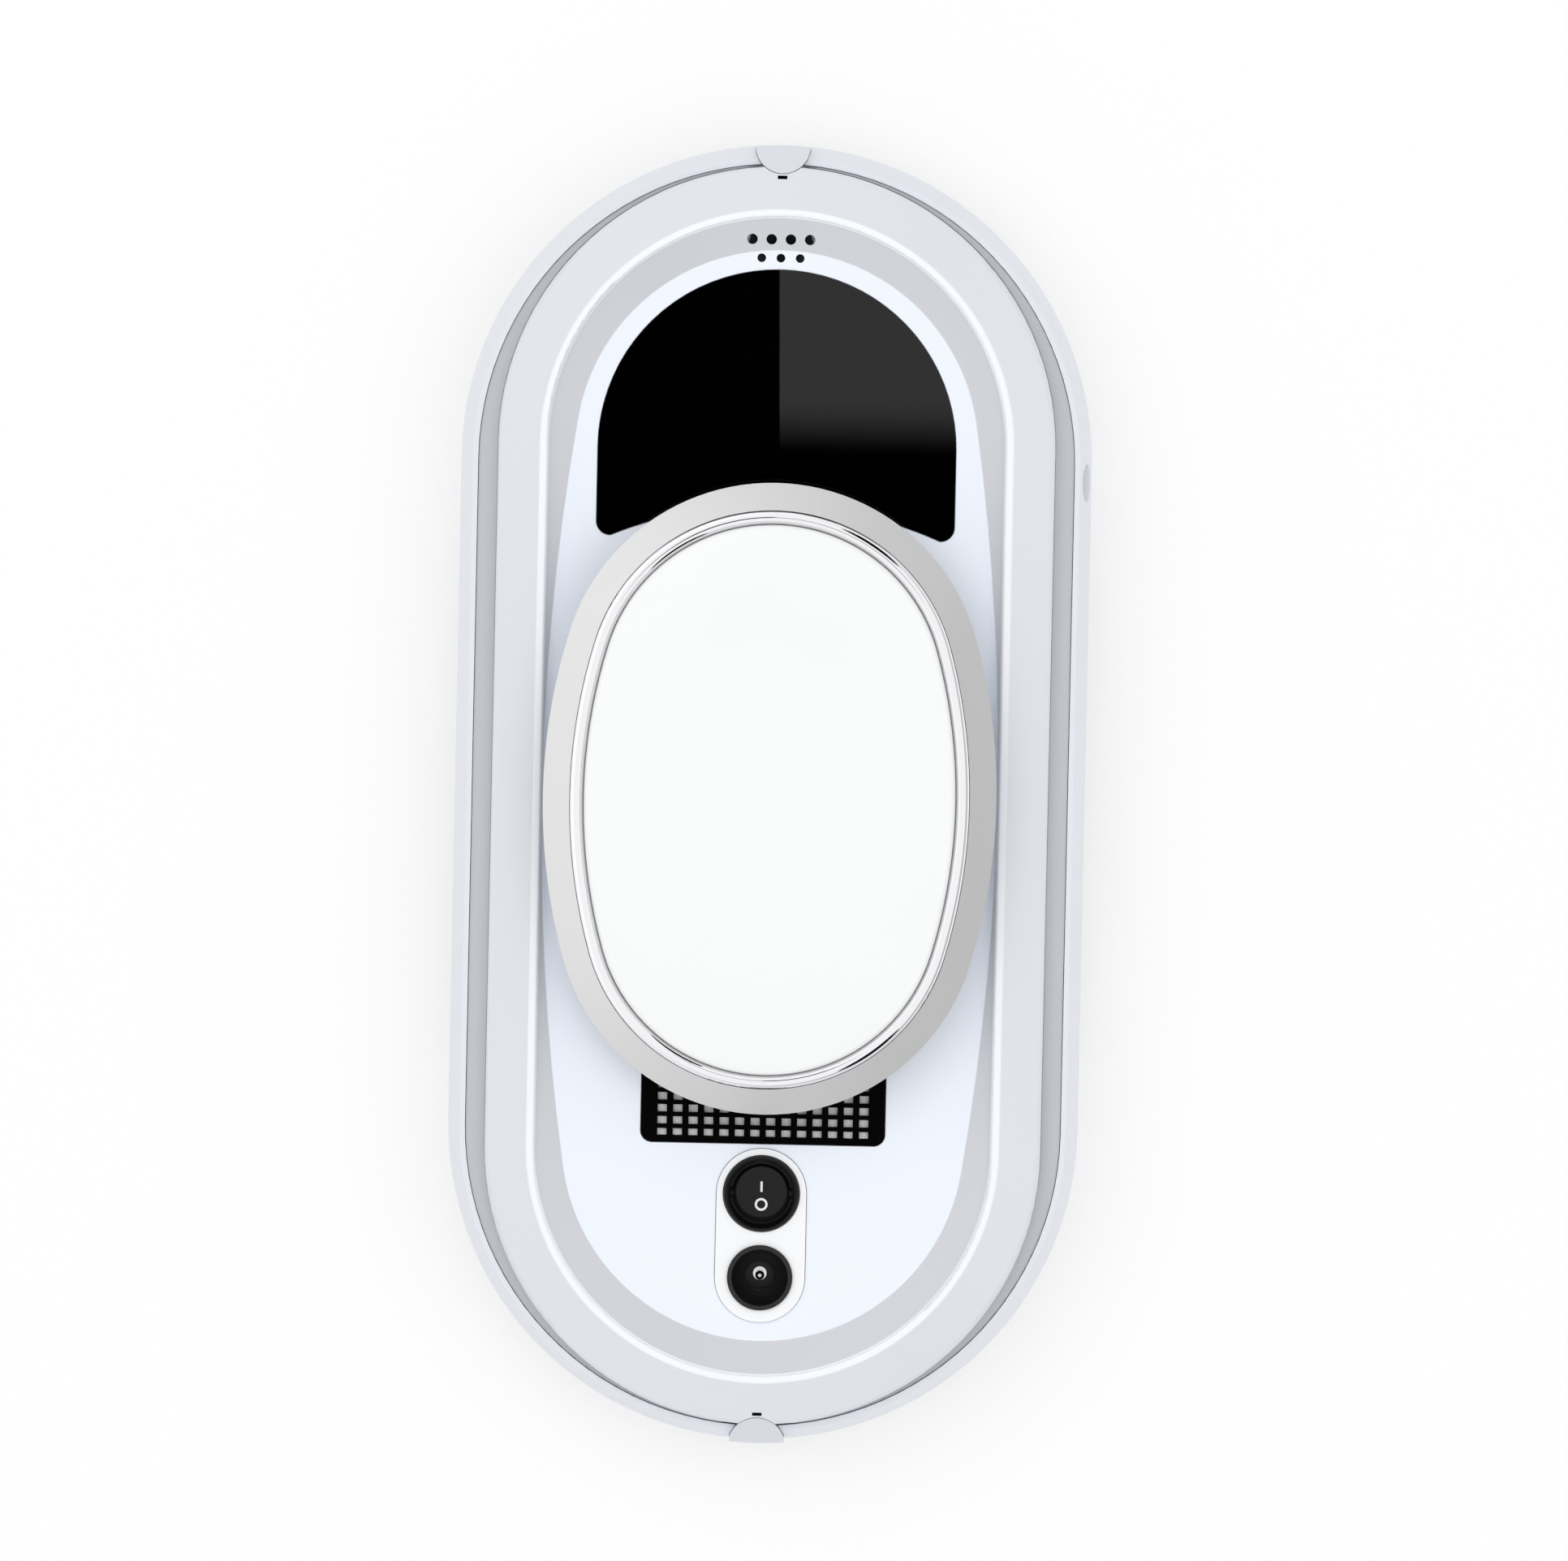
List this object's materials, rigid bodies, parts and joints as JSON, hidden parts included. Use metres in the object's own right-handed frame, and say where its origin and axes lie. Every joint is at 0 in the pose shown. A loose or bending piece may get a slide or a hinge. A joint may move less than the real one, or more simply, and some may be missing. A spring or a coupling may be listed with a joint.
{
  "type": "window cleaning robot",
  "caption": "Stadium-shaped window cleaning robot with round turning pads, a suction fan, a raised hub to hold it by, a black window, a rocker switch and a spray nozzle at each end.",
  "frame": {"origin": "on the glass, under the middle of the body", "axes": "+X to the right, +Y along the body towards the black window, +Z away from the glass"},
  "size_m": [0.145, 0.298, 0.0671],
  "materials": {
    "white_shell": "satin",
    "white_panel": "satin",
    "grey_trim": "matt",
    "black_gloss": "high gloss",
    "black_matt": "matt",
    "silver": "satin silver",
    "chrome": "polished",
    "pearl": "gloss",
    "dark_plastic": "matt",
    "grey_plastic": "matt",
    "natural_plastic": "unpainted",
    "rubber": "matt",
    "steel": "bright",
    "brass": "machined",
    "pad_fabric": "looped microfibre",
    "felt": "felt",
    "board_green": "solder mask",
    "wrap_blue": "shrink wrap"
  },
  "bodies": {
    "body": {"side_skirt": "white_shell", "base_tray": "white_shell", "top_cover": "white_panel", "left_inlay": "grey_trim", "right_inlay": "grey_trim", "window_panel": "black_gloss", "vent_grille": "black_gloss", "vent_filter": "felt", "hub_neck": "white_panel", "hub_collar": "silver", "chrome_ring": "chrome", "hub_cap": "pearl", "switch_plate": "pearl", "switch_body": "black_gloss", "power_socket": "black_gloss", "socket_pin": "steel", "front_nozzle_cover": "white_shell", "rear_nozzle_cover": "white_shell", "nozzle_tips": "black_matt", "bearing_inner_rings": "steel", "suction_guards": "dark_plastic", "gear_covers": "dark_plastic", "front_drive_motor": "steel", "rear_drive_motor": "steel", "suction_duct": "dark_plastic", "fan_base": "dark_plastic", "fan_housing": "dark_plastic", "fan_motor": "steel", "water_tank": "natural_plastic", "water_pump": "black_matt", "front_hose": "rubber", "rear_hose": "rubber", "speaker": "black_matt", "circuit_board": "board_green", "board_components": "black_matt", "battery_pack": "wrap_blue", "edge_sensors": "black_gloss", "base_screws": "steel", "guard_screws": "steel", "hub_screws": "steel"},
    "front_cleaning_disc": {"front_disc": "grey_plastic", "front_pad": "pad_fabric", "front_drive_gear": "natural_plastic", "front_bearing": "steel"},
    "rear_cleaning_disc": {"rear_disc": "grey_plastic", "rear_pad": "pad_fabric", "rear_drive_gear": "natural_plastic", "rear_bearing": "steel"},
    "front_reduction": {"front_reduction_gear": "natural_plastic"},
    "rear_reduction": {"rear_reduction_gear": "natural_plastic"},
    "front_motor_shaft": {"front_motor_pinion": "brass"},
    "rear_motor_shaft": {"rear_motor_pinion": "brass"},
    "fan_rotor": {"impeller": "natural_plastic"},
    "switch_rocker": {"rocker": "black_matt"},
    "tank_plug": {"filler_plug": "rubber"}
  },
  "joints": [
    {"name": "front_disc_spin", "type": "hinge", "parent": "body", "child": "front_cleaning_disc", "pos_m": [0, 0.075, 0.0116], "axis": [0, 0, 1], "continuous": true},
    {"name": "rear_disc_spin", "type": "hinge", "parent": "body", "child": "rear_cleaning_disc", "pos_m": [0, -0.075, 0.0116], "axis": [0, 0, 1], "continuous": true},
    {"name": "front_reduction_spin", "type": "hinge", "parent": "body", "child": "front_reduction", "pos_m": [0.036, 0.075, 0.018], "axis": [0, 0, 1], "continuous": true},
    {"name": "rear_reduction_spin", "type": "hinge", "parent": "body", "child": "rear_reduction", "pos_m": [-0.036, -0.075, 0.018], "axis": [0, 0, 1], "continuous": true},
    {"name": "front_motor_spin", "type": "hinge", "parent": "body", "child": "front_motor_shaft", "pos_m": [0.04257, 0.05696, 0.024], "axis": [0, 0, 1], "continuous": true},
    {"name": "rear_motor_spin", "type": "hinge", "parent": "body", "child": "rear_motor_shaft", "pos_m": [-0.04257, -0.05696, 0.024], "axis": [0, 0, 1], "continuous": true},
    {"name": "impeller_spin", "type": "hinge", "parent": "body", "child": "fan_rotor", "pos_m": [0, 0, 0.036], "axis": [0, 0, 1], "continuous": true},
    {"name": "rocker_tip", "type": "hinge", "parent": "body", "child": "switch_rocker", "pos_m": [0, -0.0912, 0.0401], "axis": [1, 0, 0], "range_deg": [0, 18]},
    {"name": "plug_pull", "type": "slide", "parent": "body", "child": "tank_plug", "axis": [1, 0, 0], "range_m": [0, 0.012]}
  ],
  "couplings": [
    {"joint": "front_reduction_spin", "follows": "front_disc_spin", "ratio": -5},
    {"joint": "rear_reduction_spin", "follows": "rear_disc_spin", "ratio": -5},
    {"joint": "front_motor_spin", "follows": "front_disc_spin", "ratio": 15},
    {"joint": "rear_motor_spin", "follows": "rear_disc_spin", "ratio": 15}
  ]
}
